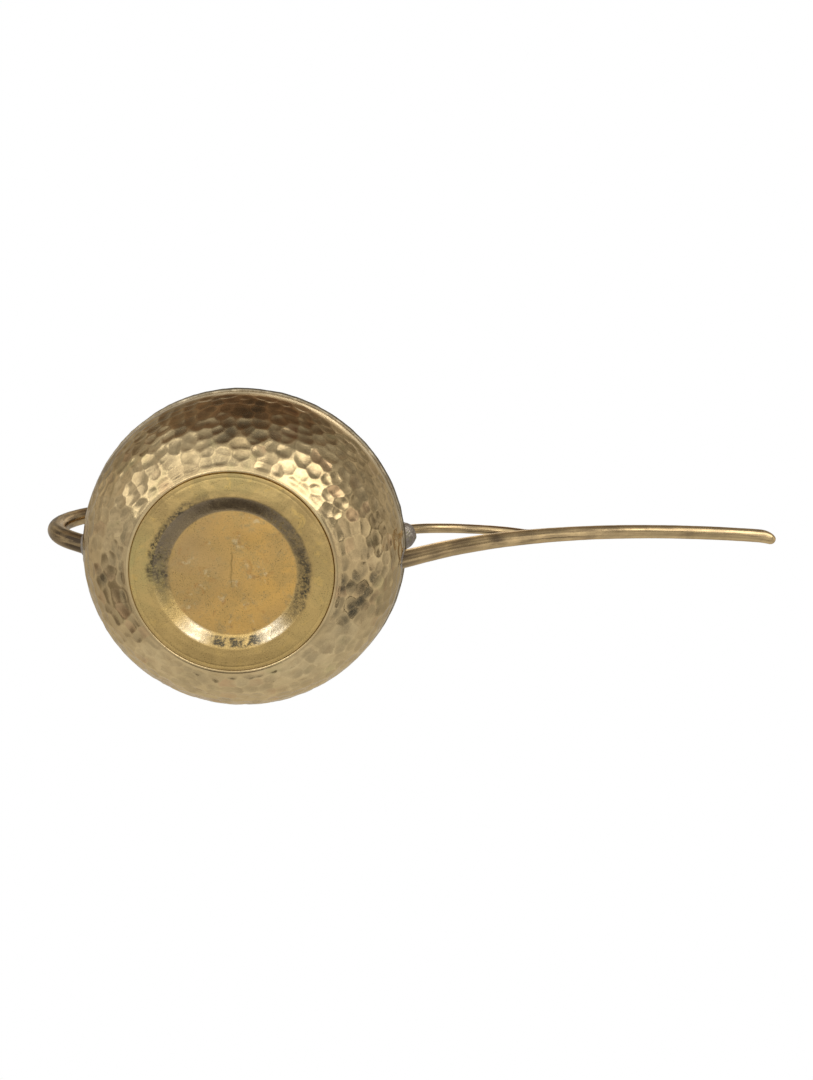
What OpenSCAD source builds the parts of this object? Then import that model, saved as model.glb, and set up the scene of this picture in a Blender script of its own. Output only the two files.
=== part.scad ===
// Coffee pot (cezve) in hammered brass: a raised bowl on a stamped foot plate,
// a necked upper body with a pouring lip, a long rod handle with a brace, and an ear.
// The axis of the pot is Z, the foot stands on z = 0 and the long handle points to +X.

/* [Bowl] */
// Radius at the widest edge, where bowl and upper body are joined
ring_r = 50; // [49:0.5:52]
// How far that folded edge stands out from the bowl
ledge = 0.9; // [0.6:0.1:1.2]
// Height of the widest edge above the surface the pot stands on
ring_z = 34.8; // [34:0.1:36]
// Angle of the bowl's wall from vertical at the widest edge
bowl_lean = 1; // [0:0.5:3]
// Thickness of the sheet
sheet = 1.2; // [0.8:0.1:1.5]

/* [Foot plate] */
// Outer radius of the foot plate
foot_r = 27.7; // [26.5:0.1:28]
// Inner radius of the flat ring that the pot stands on
stand_r = 21.5; // [20:0.1:23]
// Width of that flat ring
stand_w = 1; // [0.6:0.1:1.5]
// Radius of the flat disc inside the recess
disc_r = 17.4; // [15:0.1:18.5]
// Depth of the recess under the foot plate
recess_h = 1.3; // [0.8:0.1:1.5]
// Rise of the plate's underside from the standing ring to its outer edge
edge_rise = 0.5; // [0.2:0.1:0.7]

/* [Upper body] */
// Outer radius at the narrowest part of the neck
neck_r = 41.5; // [40:0.5:42.5]
// Height of the narrowest part of the neck
neck_z = 64; // [61:1:66]
// Outer radius at the mouth
mouth_r = 43.8; // [43:0.1:44.5]
// Height of the sheet's top edge, under the rim wire
mouth_z = 90.5; // [88:0.5:92]
// Reach of the pouring lip beyond the mouth
lip_reach = 3; // [2:0.5:3.5]
// Half of the angle that the pouring lip takes up
lip_spread = 30; // [20:1:40]
// Thickness of the rim wire
rim_d = 2.6; // [2:0.1:3]

/* [Handle] */
// Thickness of the handle rod and the ear
rod_d = 5.8; // [5:0.1:6]
// Angle at which the handle leaves the bowl, from horizontal
rod_start = 52; // [51.5:0.5:52.5]
// Straight length of the handle before its long bend
rod_straight = 19.7; // [19:0.1:20.4]
// Radius of the handle's long bend
rod_bend_r = 180; // [178:1:184]
// Radius of the short bend down at the tip
tip_bend_r = 60; // [50:1:80]
// Angle of that bend
tip_bend = 10.5; // [7:0.5:14]

/* [Brace] */
// Thickness of the brace rod
brace_d = 3.8; // [3:0.1:4]
// Radius of the brace's bend
brace_bend_r = 39; // [38:0.5:40]
// Angle at which the brace leaves the neck, from horizontal
brace_start = 40; // [39:0.5:41]
// Angle at which it comes down on the handle, below horizontal
brace_end = 30; // [29:0.5:31]

/* [Ear] */
// Radius of the ear's lower bend
ear_low_r = 42; // [40:0.5:43]
// Radius of the ear's upper bend
ear_top_r = 43; // [40:1:44]
// Radius of the bend back to the neck
ear_back_r = 10; // [9:0.5:11]

/* [Hidden] */

$fn = 64;
WALL_SIDES = 60;     // sides around the lipped upper body and the rim wire
RIM_SIDES = 8;       // sides of the rim wire's section
ARC_STEP = 6;        // degrees between the points of a bend in the upper body
BEND_SWELL = 0.06;   // how much a rod swells where one bend passes into the next
FIT_GAP = 0.06;      // room between the bowl and what is fitted to it
SOLDER_GAP = 0.02;   // room between a rod and its solder
THIN_SOLDER = 0.4;   // thickness of a solder sleeve at its thin end
BRASS = "#b08d3e";
OLD_BRASS = "#8f7338";
SOLDER = "#8d8781";

// The bowl's wall is one arc from the foot plate's edge to the widest edge.
plate_top_z = 2.4;
bowl_floor_z = plate_top_z + sheet;
foot_rise = ring_z - edge_rise;
foot_run = ring_r - ledge - foot_r;
bowl_arc_r = (foot_run * foot_run + foot_rise * foot_rise)
           / (2 * (foot_run * cos(bowl_lean) - foot_rise * sin(bowl_lean)));
bowl_arc_c = [ring_r - ledge - bowl_arc_r * cos(bowl_lean),
              ring_z + bowl_arc_r * sin(bowl_lean)];

// The bowl's edge is folded over the foot of the upper body.
seam_h = 1.6;
seam_low_z = ring_z - seam_h / 2;
seam_top_z = ring_z + seam_h / 2;
shoulder_foot_r = ring_r - ledge;

// The upper body bends in over the shoulder, back out below the neck, and flares.
flare_turn = 2 * atan((mouth_r - neck_r) / (mouth_z - neck_z));
flare_r = (mouth_z - neck_z) / sin(flare_turn);
shoulder_turn = 2 * atan((shoulder_foot_r - neck_r) / (neck_z - seam_top_z));
bend_r_sum = (neck_z - seam_top_z) / sin(shoulder_turn);
shoulder_r = bend_r_sum * 0.45;
neck_bend_r = bend_r_sum - shoulder_r;
lip_h = 16;          // height over which the lip grows out of the wall
lip_dir = 270;       // direction of the pouring lip, to the left of the handle's holder

// Each rod runs straight through the wall at its foot, and the bends follow.
// Places are [distance from the axis, height], and headings are from horizontal.
root_in = 10.5;      // straight length behind the foot, before the rod is fitted
root_out = 4;        // straight length of the ear in front of its foot
handle_foot = [ring_r - 0.8, ring_z - 3.1];
handle_bend = along(handle_foot, rod_start, rod_straight);
handle_top = bend_end(handle_bend, rod_bend_r, rod_start, 0);
handle_tip = bend_end(handle_top, tip_bend_r, 0, -tip_bend);
brace_bend = [55, 86.3];
brace_fork = bend_end(brace_bend, brace_bend_r, brace_start, -brace_end);
brace_root = 17;     // straight length from the brace's bend back into the neck
fork_len = 7;        // straight length from its bend into the handle
fork_heading = 34;   // heading of the handle where the brace meets it
fork_point = bend_end(handle_bend, rod_bend_r, rod_start, fork_heading);
ear_foot = [ring_r - 0.8, ring_z - 4.6];
ear_start = 42;        // heading in which the ear leaves the bowl
ear_turn = 111;        // heading where the tight bend back begins
ear_end = 200;         // heading in which its top end meets the neck
ear_bend = along(ear_foot, ear_start, root_out);
ear_side = bend_end(ear_bend, -ear_low_r, ear_start, 90);
ear_top = bend_end(ear_side, -ear_top_r, 90, ear_turn);
ear_tail = bend_end(ear_top, -ear_back_r, ear_turn, ear_end);
ear_tail_len = 11;

function along(p, a, length) = p + length * [cos(a), sin(a)];

// Where a bend ends that starts at p with the heading a0 and stops with the heading a1.
// A positive radius turns down and a negative one up.
function bend_end(p, r, a0, a1) = p + r * [sin(a0) - sin(a1), cos(a1) - cos(a0)];

// Points of an arc about c after its first one.
function arc_points(c, r, a0, a1) =
    let (n = ceil(abs(a1 - a0) / ARC_STEP))
    [for (i = [1:n]) c + r * [cos(a0 + (a1 - a0) * i / n), sin(a0 + (a1 - a0) * i / n)]];

// Wall of the upper body from the seam to the mouth, moved in by t from its outer face.
function neck_profile(t) = concat(
    [[shoulder_foot_r - t, seam_top_z]],
    arc_points([shoulder_foot_r - shoulder_r, seam_top_z], shoulder_r - t, 0, shoulder_turn),
    arc_points([neck_r + neck_bend_r, neck_z], neck_bend_r + t, 180 + shoulder_turn, 180),
    arc_points([neck_r + flare_r, neck_z], flare_r + t, 180, 180 - flare_turn));

function reversed(list) = [for (i = [len(list) - 1:-1:0]) list[i]];

// How far the lip pushes the wall out, in the direction a and at the height z.
function lip_push(a, z) =
    let (
        side = min(abs(a - lip_dir) / lip_spread, 1),
        rise = max(z - mouth_z + lip_h, 0) / lip_h
    )
    lip_reach * (1 + cos(180 * side)) / 2 * pow(rise, 2);

function lipped_point(a, p) =
    let (r = p[0] + lip_push(a, p[1]))
    [r * cos(a), r * sin(a), p[1]];

// A closed section carried round the axis, and pushed out along the lip.
module lipped_ring(section) {
    n = len(section);
    angles = [for (i = [0:WALL_SIDES - 1]) 360 * i / WALL_SIDES];
    polyhedron(
        points = [for (a = angles) for (p = section) lipped_point(a, p)],
        faces = [
            for (i = [0:WALL_SIDES - 1])
                for (k = [0:n - 1])
                    let (
                        i2 = (i + 1) % WALL_SIDES,
                        k2 = (k + 1) % n
                    )
                    for (face = [
                        [i * n + k, i2 * n + k2, i2 * n + k],
                        [i * n + k, i * n + k2, i2 * n + k2]
                    ]) face
        ]);
}

// A round rod bent in the XZ plane, as bend_end has it.
module bent_rod(p, r, a0, a1, d) {
    first = r > 0 ? 90 + a1 : a0 - 90;
    translate([p[0] + r * sin(a0), 0, p[1] - r * cos(a0)])
        rotate([90, 0, 0])
            rotate([0, 0, first])
                rotate_extrude(angle = abs(a0 - a1))
                    translate([abs(r), 0])
                        circle(d = d);
}

// Puts its children at p, with their Z axis along the heading a.
module heading(p, a) {
    translate([p[0], 0, p[1]])
        rotate([0, 90 - a, 0])
            children();
}

module straight_rod(p, a, length, d) {
    heading(p, a)
        cylinder(h = length, d = d);
}

module ball(p, d) {
    translate([p[0], 0, p[1]])
        sphere(d = d);
}

// A sleeve of solder round a straight rod, thick at its foot and thin at its far end.
module solder_sleeve(p, a, length, d, thick) {
    inner = d / 2 + SOLDER_GAP;
    heading(p, a)
        rotate_extrude()
            polygon([
                [inner, 0], [inner + thick, 0], [inner + thick, length * 0.4],
                [inner + THIN_SOLDER, length], [inner, length]
            ]);
}

// Everything within the outer face of the pot, which the rods and solder are fitted to.
module pot_envelope() {
    fit_r = bowl_arc_r + FIT_GAP;
    low = asin((edge_rise - bowl_arc_c[1]) / fit_r);
    high = asin((seam_low_z - bowl_arc_c[1]) / fit_r);
    rotate_extrude()
        polygon(concat(
            [[0, edge_rise]],
            arc_points(bowl_arc_c, fit_r, low, high),
            [[ring_r, seam_low_z], [ring_r, seam_top_z]],
            neck_profile(0),
            [[0, mouth_z]]));
}

module bowl_outline() {
    intersection() {
        translate(bowl_arc_c)
            circle(r = bowl_arc_r);
        translate([0, edge_rise])
            square([ring_r, seam_low_z - edge_rise]);
    }
}

module handle_bends() {
    straight_rod(along(handle_foot, rod_start, -root_in), rod_start, root_in + rod_straight, rod_d);
    bent_rod(handle_bend, rod_bend_r, rod_start, 0, rod_d);
    bent_rod(handle_top, tip_bend_r, 0, -tip_bend, rod_d);
    for (p = [handle_bend, handle_top, handle_tip])
        ball(p, rod_d + BEND_SWELL);
}

// Stamped plate that the pot stands on, with a recess inside its standing ring.
module foot_plate() {
    color(BRASS)
        rotate_extrude()
            polygon([
                [0, recess_h], [disc_r, recess_h], [stand_r, 0], [stand_r + stand_w, 0],
                [foot_r, edge_rise], [foot_r, plate_top_z], [0, plate_top_z]
            ]);
}

// Hammered bowl, open at the top, with a flat floor on the foot plate.
module bowl() {
    color(BRASS)
        rotate_extrude()
            difference() {
                bowl_outline();
                square([foot_r, plate_top_z]);
                intersection() {
                    translate(bowl_arc_c)
                        circle(r = bowl_arc_r - sheet);
                    translate([-1, bowl_floor_z])
                        square([ring_r, ring_z]);
                }
            }
}

// Folded edge that joins the bowl to the upper body.
module seam_ring() {
    inner_r = shoulder_foot_r - sheet;
    color(OLD_BRASS)
        rotate_extrude() {
            translate([inner_r, seam_low_z])
                square([ring_r - seam_h / 2 - inner_r, seam_h]);
            translate([ring_r - seam_h / 2, ring_z])
                circle(d = seam_h);
        }
}

// Shoulder, neck and flared mouth in one sheet, drawn out into a pouring lip.
module upper_body() {
    color(BRASS)
        lipped_ring(concat(neck_profile(0), reversed(neck_profile(sheet))));
}

// Wire along the mouth, resting on the sheet's edge with the flat of its section.
module rim_wire() {
    flat = rim_d / 2 * cos(180 / RIM_SIDES);
    color(OLD_BRASS)
        lipped_ring([
            for (i = [0:RIM_SIDES - 1])
                let (a = -360 * (i + 0.5) / RIM_SIDES)
                [mouth_r - sheet / 2, mouth_z + flat] + rim_d / 2 * [cos(a), sin(a)]
        ]);
}

module handle_rod() {
    color(BRASS)
        difference() {
            handle_bends();
            pot_envelope();
        }
}

module brace_rod() {
    color(BRASS)
        difference() {
            union() {
                straight_rod(along(brace_bend, brace_start, -brace_root), brace_start, brace_root, brace_d);
                bent_rod(brace_bend, brace_bend_r, brace_start, -brace_end, brace_d);
                straight_rod(brace_fork, -brace_end, fork_len, brace_d);
                for (p = [brace_bend, brace_fork])
                    ball(p, brace_d + BEND_SWELL);
            }
            pot_envelope();
            handle_bends();
        }
}

module ear_rod() {
    color(BRASS)
        mirror([1, 0, 0])
            difference() {
                union() {
                    straight_rod(along(ear_foot, ear_start, -root_in), ear_start, root_in + root_out, rod_d);
                    bent_rod(ear_bend, -ear_low_r, ear_start, 90, rod_d);
                    bent_rod(ear_side, -ear_top_r, 90, ear_turn, rod_d);
                    bent_rod(ear_top, -ear_back_r, ear_turn, ear_end, rod_d);
                    straight_rod(ear_tail, ear_end, ear_tail_len, rod_d);
                    for (p = [ear_bend, ear_side, ear_top, ear_tail])
                        ball(p, rod_d + BEND_SWELL);
                }
                pot_envelope();
            }
}

// Lump of grey solder that holds the brace to the neck.
module brace_solder() {
    lump_d = 10.2;
    lump = [51.6, 77.4];
    lump_side = 0.9;     // how far it has run to one side
    neck_side = [neck_r - 2, lump[1]];
    color(SOLDER)
        difference() {
            translate([0, lump_side, 0]) {
                ball(lump, lump_d);
                ball(lump + [-2, 4.2], lump_d * 0.85);
                heading(neck_side, 0)
                    cylinder(h = lump[0] - neck_side[0], d1 = lump_d * 0.75, d2 = lump_d - 0.2);
            }
            pot_envelope();
            straight_rod(along(brace_bend, brace_start, -brace_root), brace_start,
                         brace_root, brace_d + 2 * SOLDER_GAP);
        }
}

// Sleeves of solder round the feet of the handle and the ear, and round the ear's top end.
module handle_solder() {
    color(SOLDER)
        difference() {
            solder_sleeve(along(handle_foot, rod_start, -root_in), rod_start,
                          root_in + 2, rod_d, 1.1);
            pot_envelope();
        }
}

module ear_low_solder() {
    color(SOLDER)
        mirror([1, 0, 0])
            difference() {
                solder_sleeve(along(ear_foot, ear_start, -root_in / 2), ear_start,
                              root_in / 2 + 2.5, rod_d, 1.6);
                pot_envelope();
            }
}

module ear_top_solder() {
    color(SOLDER)
        mirror([1, 0, 0])
            difference() {
                solder_sleeve(along(ear_tail, ear_end, ear_tail_len), ear_end + 180,
                              ear_tail_len - 3, rod_d, 1.8);
                pot_envelope();
            }
}

// Solder in the fork where the brace comes down on the handle.
module fork_solder() {
    color(SOLDER)
        difference() {
            solder_sleeve(along(brace_fork, -brace_end, fork_len), 180 - brace_end,
                          fork_len - 1, brace_d, 1.2);
            straight_rod(along(fork_point, fork_heading, -2 * fork_len), fork_heading,
                         4 * fork_len, rod_d + 4 * FIT_GAP);
        }
}

foot_plate();
bowl();
seam_ring();
upper_body();
rim_wire();
handle_rod();
brace_rod();
ear_rod();
brace_solder();
handle_solder();
ear_low_solder();
ear_top_solder();
fork_solder();
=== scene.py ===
"""Hammered brass coffee pot with a long rod handle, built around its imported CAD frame.

Lengths are worked out in millimetres, and become metres where a mesh is made.
"""
import math

import bpy
import numpy as np
from mathutils import Matrix, Vector


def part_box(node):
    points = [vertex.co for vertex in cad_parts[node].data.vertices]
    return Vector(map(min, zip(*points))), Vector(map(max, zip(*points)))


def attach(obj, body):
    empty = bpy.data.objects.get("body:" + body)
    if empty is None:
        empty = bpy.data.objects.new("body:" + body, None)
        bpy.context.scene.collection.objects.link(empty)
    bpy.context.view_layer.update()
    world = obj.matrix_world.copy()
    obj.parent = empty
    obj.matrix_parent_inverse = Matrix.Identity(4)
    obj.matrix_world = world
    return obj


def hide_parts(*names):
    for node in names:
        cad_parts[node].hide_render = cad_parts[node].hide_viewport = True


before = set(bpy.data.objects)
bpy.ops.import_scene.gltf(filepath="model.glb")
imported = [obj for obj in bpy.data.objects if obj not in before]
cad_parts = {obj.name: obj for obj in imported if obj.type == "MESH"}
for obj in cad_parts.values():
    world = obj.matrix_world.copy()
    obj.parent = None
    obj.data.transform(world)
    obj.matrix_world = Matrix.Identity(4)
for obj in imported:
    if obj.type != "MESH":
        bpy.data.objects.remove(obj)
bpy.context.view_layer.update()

MM = 0.001
TURN = 2 * math.pi


# ---------------------------------------------------------------- sizes, from the CAD nodes
def node_box(name):
    """Lowest and highest corner of a CAD node, in millimetres."""
    return [np.array(corner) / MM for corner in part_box(name)]


foot_high = node_box("foot_plate")[1]
seam_low, seam_high = node_box("seam_ring")
neck_high = node_box("upper_body")[1]

# The sizes that the boxes don't give are the CAD source's own.
SHEET = 1.2
FOOT_R = foot_high[0]
PLATE_TOP = foot_high[2]
RING_R = seam_high[0]
SEAM_LOW, SEAM_TOP = seam_low[2], seam_high[2]
SEAM_H = SEAM_TOP - SEAM_LOW
RING_Z = (SEAM_LOW + SEAM_TOP) / 2
MOUTH_Z = neck_high[2]
EDGE_RISE = 0.5
LEDGE = 0.9
DISC_R, STAND_R, STAND_W, RECESS_H = 17.4, 21.5, 1.0, 1.3
BOWL_LEAN = math.radians(1)
NECK_R, NECK_Z, MOUTH_R = 41.5, 64.0, 43.8
LIP_REACH, LIP_SPREAD, LIP_H, LIP_DIR = 3.0, math.radians(30), 16.0, 1.5 * math.pi
RIM_D = 2.6
ROD_R, BRACE_R = 2.9, 1.9

# The bowl's wall is one arc from the foot plate's edge to the widest edge.
rise, run = RING_Z - EDGE_RISE, RING_R - LEDGE - FOOT_R
ARC_R = (run**2 + rise**2) / (2 * (run * math.cos(BOWL_LEAN) - rise * math.sin(BOWL_LEAN)))
ARC_X = RING_R - LEDGE - ARC_R * math.cos(BOWL_LEAN)
ARC_Z = RING_Z + ARC_R * math.sin(BOWL_LEAN)

# The upper body is three arcs: over the shoulder, back out below the neck, and the flare.
SHOULDER_FOOT_R = RING_R - LEDGE
flare_turn = 2 * math.atan((MOUTH_R - NECK_R) / (MOUTH_Z - NECK_Z))
FLARE_R = (MOUTH_Z - NECK_Z) / math.sin(flare_turn)
shoulder_turn = 2 * math.atan((SHOULDER_FOOT_R - NECK_R) / (NECK_Z - SEAM_TOP))
bend_r_sum = (NECK_Z - SEAM_TOP) / math.sin(shoulder_turn)
SHOULDER_R = 0.45 * bend_r_sum
NECK_BEND_R = bend_r_sum - SHOULDER_R
SHOULDER_END_Z = SEAM_TOP + SHOULDER_R * math.sin(shoulder_turn)


def arc_reach(radius, z, centre_z):
    """How far an arc lies to the side of its centre at the height z."""
    return np.sqrt(np.maximum(radius**2 - (z - centre_z) ** 2, 0))


def outer_r(z):
    """Radius of the pot's plain outer face at the height z."""
    z = np.asarray(z, float)
    bowl = ARC_X + arc_reach(ARC_R, z, ARC_Z)
    seam = RING_R - SEAM_H / 2 + arc_reach(SEAM_H / 2, z, RING_Z)
    shoulder = SHOULDER_FOOT_R - SHOULDER_R + arc_reach(SHOULDER_R, z, SEAM_TOP)
    neck = NECK_R + NECK_BEND_R - arc_reach(NECK_BEND_R, z, NECK_Z)
    flare = NECK_R + FLARE_R - arc_reach(FLARE_R, z, NECK_Z)
    return np.select([z < SEAM_LOW, z < SEAM_TOP, z < SHOULDER_END_Z, z < NECK_Z],
                     [bowl, seam, shoulder, neck], flare)


def turn_from(angle, towards):
    """The turn about the axis from one direction to another, from -pi to pi."""
    return (angle - towards + math.pi) % TURN - math.pi


def lip_push(angle, z):
    """How far the pouring lip pushes the wall out."""
    away = np.abs(turn_from(angle, LIP_DIR))
    side = np.minimum(away / LIP_SPREAD, 1)
    up = np.maximum(z - MOUTH_Z + LIP_H, 0) / LIP_H
    return LIP_REACH * (1 + np.cos(math.pi * side)) / 2 * up**2


# ---------------------------------------------------------------- mesh tools
def smooth(x, low, high):
    """0 below low, 1 above high, and an even curve between them."""
    t = np.clip((np.asarray(x, float) - low) / (high - low), 0, 1)
    return t * t * (3 - 2 * t)


def fade(x, low, high):
    """1 below low, 0 above high."""
    return 1 - smooth(x, low, high)


def between(x, start, full, last_full, end):
    """1 from full to last_full, 0 before start and after end."""
    return smooth(x, start, full) * fade(x, last_full, end)


def sides(angle, *spots):
    """1 on some sides of the pot and 0 away from them. Each spot has a direction and a spread
    in degrees, and a gain that widens its full part."""
    total = 0
    for towards, spread, gain in spots:
        away = np.abs(turn_from(angle, math.radians(towards)))
        total = total + gain * fade(away, 0, math.radians(spread))
    return np.clip(total, 0, 1)


def polar(grid):
    """Each point's distance and direction from the pot's axis."""
    return np.hypot(grid[..., 0], grid[..., 1]), np.arctan2(grid[..., 1], grid[..., 0])


def unit(vectors):
    return vectors / np.linalg.norm(vectors, axis=-1)[..., None]


def find_edge(low, high, inside, steps=40):
    """Where the test inside turns from true to false between the distances low and high, as
    the last distance that passes and the first that fails."""
    for _ in range(steps):
        middle = (low + high) / 2
        passed = inside(middle)
        low, high = np.where(passed, middle, low), np.where(passed, high, middle)
    return low, high


def waves(rng, points, size, count=14):
    """Smooth random values from about -1 to 1, with bumps about size millimetres apart."""
    total = np.zeros(points.shape[:-1])
    for _ in range(count):
        direction = rng.normal(size=3)
        direction /= np.linalg.norm(direction)
        wave = TURN / (size * rng.uniform(0.7, 1.5))
        total += np.sin(points @ direction * wave + rng.uniform(0, TURN))
    return total / math.sqrt(count)


def grid_faces(rows, count, closed):
    """Quads between rows of points that each run once round."""
    j = np.arange(rows if closed else rows - 1)[:, None]
    i = np.arange(count)[None, :]
    j2, i2 = (j + 1) % rows, (i + 1) % count
    quads = [j * count + i, j * count + i2, j2 * count + i2, j2 * count + i]
    return np.stack(np.broadcast_arrays(*quads), -1).reshape(-1, 4)


def add_object(name, data):
    item = bpy.data.objects.new(name, data)
    bpy.context.scene.collection.objects.link(item)
    return item


def make_piece(name, node, slot, grid, poles=None, fields=(), face_slots=None):
    """A mesh piece from rows of points, in place of a CAD node. poles are the points that close
    its first and last rows, or None where the rows themselves close into a ring."""
    rows, count = grid.shape[:2]
    points = grid.reshape(-1, 3)
    quads = grid_faces(rows, count, poles is None)
    i = np.arange(count)
    i2 = (i + 1) % count
    fans = np.zeros((0, 3), int)
    if poles is not None:
        low, high = len(points), len(points) + 1
        points = np.vstack([points, poles])
        last = (rows - 1) * count
        fans = np.vstack([np.stack([np.full(count, low), i2, i], 1),
                          np.stack([np.full(count, high), last + i, last + i2], 1)])
    a, b, c, d = (points[quads[:, k]] for k in range(4))
    volume = np.einsum("ij,ij->", a, np.cross(b, c)) + np.einsum("ij,ij->", a, np.cross(c, d))
    if volume < 0:
        quads, fans = quads[:, ::-1], fans[:, ::-1]
    mesh = bpy.data.meshes.new(name)
    mesh.vertices.add(len(points))
    mesh.vertices.foreach_set("co", (points * MM).astype(np.float32).ravel())
    corners = np.concatenate([quads.ravel(), fans.ravel()])
    sizes = np.concatenate([np.full(len(quads), 4), np.full(len(fans), 3)])
    starts = np.concatenate([[0], np.cumsum(sizes)[:-1]])
    mesh.loops.add(len(corners))
    mesh.loops.foreach_set("vertex_index", corners.astype(np.int32))
    mesh.polygons.add(len(sizes))
    mesh.polygons.foreach_set("loop_start", starts.astype(np.int32))
    mesh.polygons.foreach_set("use_smooth", np.ones(len(sizes), bool))
    if face_slots is not None:
        index = np.concatenate([np.repeat(face_slots, count), np.zeros(len(fans), int)])
        if poles is not None:
            index[-count:] = face_slots[-1]
        mesh.polygons.foreach_set("material_index", index.astype(np.int32))
    for field, values in dict(fields).items():
        values = np.asarray(values, float)
        kind, key = ("FLOAT_VECTOR", "vector") if values.ndim == 3 else ("FLOAT", "value")
        flat = values.reshape(rows * count, -1)
        if poles is not None:
            flat = np.vstack([flat, flat[:count].mean(0), flat[-count:].mean(0)])
        attribute = mesh.attributes.new(field, kind, "POINT")
        attribute.data.foreach_set(key, flat.astype(np.float32).ravel())
    mesh.update(calc_edges=True)
    mesh.validate()
    for material in MATERIALS[slot]:
        mesh.materials.append(material)
    piece = add_object(name, mesh)
    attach(piece, "root")
    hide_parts(node)


def path_length(points):
    """The distance along a line of points to each of them."""
    return np.concatenate([[0], np.cumsum(np.linalg.norm(np.diff(points, axis=0), axis=1))])


def resample(points, step):
    """Points at even steps along a polyline, and the distance along it."""
    run = path_length(points)
    count = max(int(round(run[-1] / step)), 1)
    at = np.linspace(0, run[-1], count + 1)
    return np.stack([np.interp(at, run, points[:, k]) for k in range(points.shape[1])], 1), at


def profile_normals(profile):
    """Unit normals to the right of a profile of (radius, height) points."""
    tangent = unit(np.gradient(profile, axis=0))
    return np.stack([tangent[:, 1], -tangent[:, 0]], 1)


def turned(profile, angles, push=None):
    """Rows of points, or of normals: the profile carried round the axis."""
    r, z = profile[:, :1] + 0 * angles, profile[:, 1:] + 0 * angles
    if push is not None:
        r = r + push(angles, z)
    return np.stack([r * np.cos(angles), r * np.sin(angles), z], -1)


def round_angles(count):
    return np.arange(count) * TURN / count


# ---------------------------------------------------------------- hammering
DENT_SHARP = 55.0  # how crisply neighbouring dents meet
DENT_REACH = 6.4  # how far from its middle a dent is worked out
DENT_MIDDLE = 1.7  # how wide its middle is


def hammer(rng, radius, along, angles, start, stop, gap, depth, curve):
    """Dents left by a round-faced hammer on a turned wall, gap apart, with the given depth and
    radius of curvature.

    radius and along give each row's radius and distance along the wall. Returns how deep the
    dents go, how close each point is to the middle of its dent, and a random value per dent.
    """
    total = np.ones((len(along), len(angles)))
    best = np.zeros_like(total)
    middle = np.zeros_like(total)
    cell = np.full_like(total, 0.5)
    row_step = np.mean(np.diff(along))
    at = start
    while at < stop:
        row_r = np.interp(at, along, radius)
        count = int(round(TURN * row_r / (gap * rng.uniform(0.93, 1.12))))
        turn = rng.uniform(0, TURN)
        for k in range(count):
            a = turn + TURN * (k + rng.uniform(-0.27, 0.27)) / count
            s = at + gap * rng.uniform(-0.28, 0.28)
            deep = depth * rng.uniform(0.66, 1.15)
            ball = curve * rng.uniform(0.75, 1.4)
            twist, stretch = rng.uniform(0, math.pi), rng.uniform(0.70, 1.0)
            tilt = rng.normal(0, 0.022, 2)
            value = rng.uniform(0, 1)
            j0 = max(int((s - DENT_REACH - along[0]) / row_step), 0)
            j1 = min(int((s + DENT_REACH - along[0]) / row_step) + 1, len(along))
            if j1 <= j0:
                continue
            half = int(DENT_REACH / max(row_r, 5) / TURN * len(angles)) + 1
            i = (np.arange(-half, half + 1) + int(round(a / TURN * len(angles)))) % len(angles)
            u = turn_from(angles[i], a)[None, :] * radius[j0:j1, None]
            v = (along[j0:j1] - s)[:, None]
            x = u * math.cos(twist) + v * math.sin(twist)
            y = -u * math.sin(twist) + v * math.cos(twist)
            square = x**2 * stretch + y**2 / stretch
            level = deep - square / (2 * ball) + tilt[0] * x + tilt[1] * y
            window = np.ix_(np.arange(j0, j1), i)
            total[window] += np.exp(DENT_SHARP * level)
            better = level > best[window]
            best[window] = np.where(better, level, best[window])
            cell[window] = np.where(better, value, cell[window])
            near = np.exp(-square / (2 * DENT_MIDDLE**2))
            middle[window] = np.where(better, near, middle[window])
        at += gap * rng.uniform(0.80, 0.92)
    return np.log(total) / DENT_SHARP, middle, cell


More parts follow.
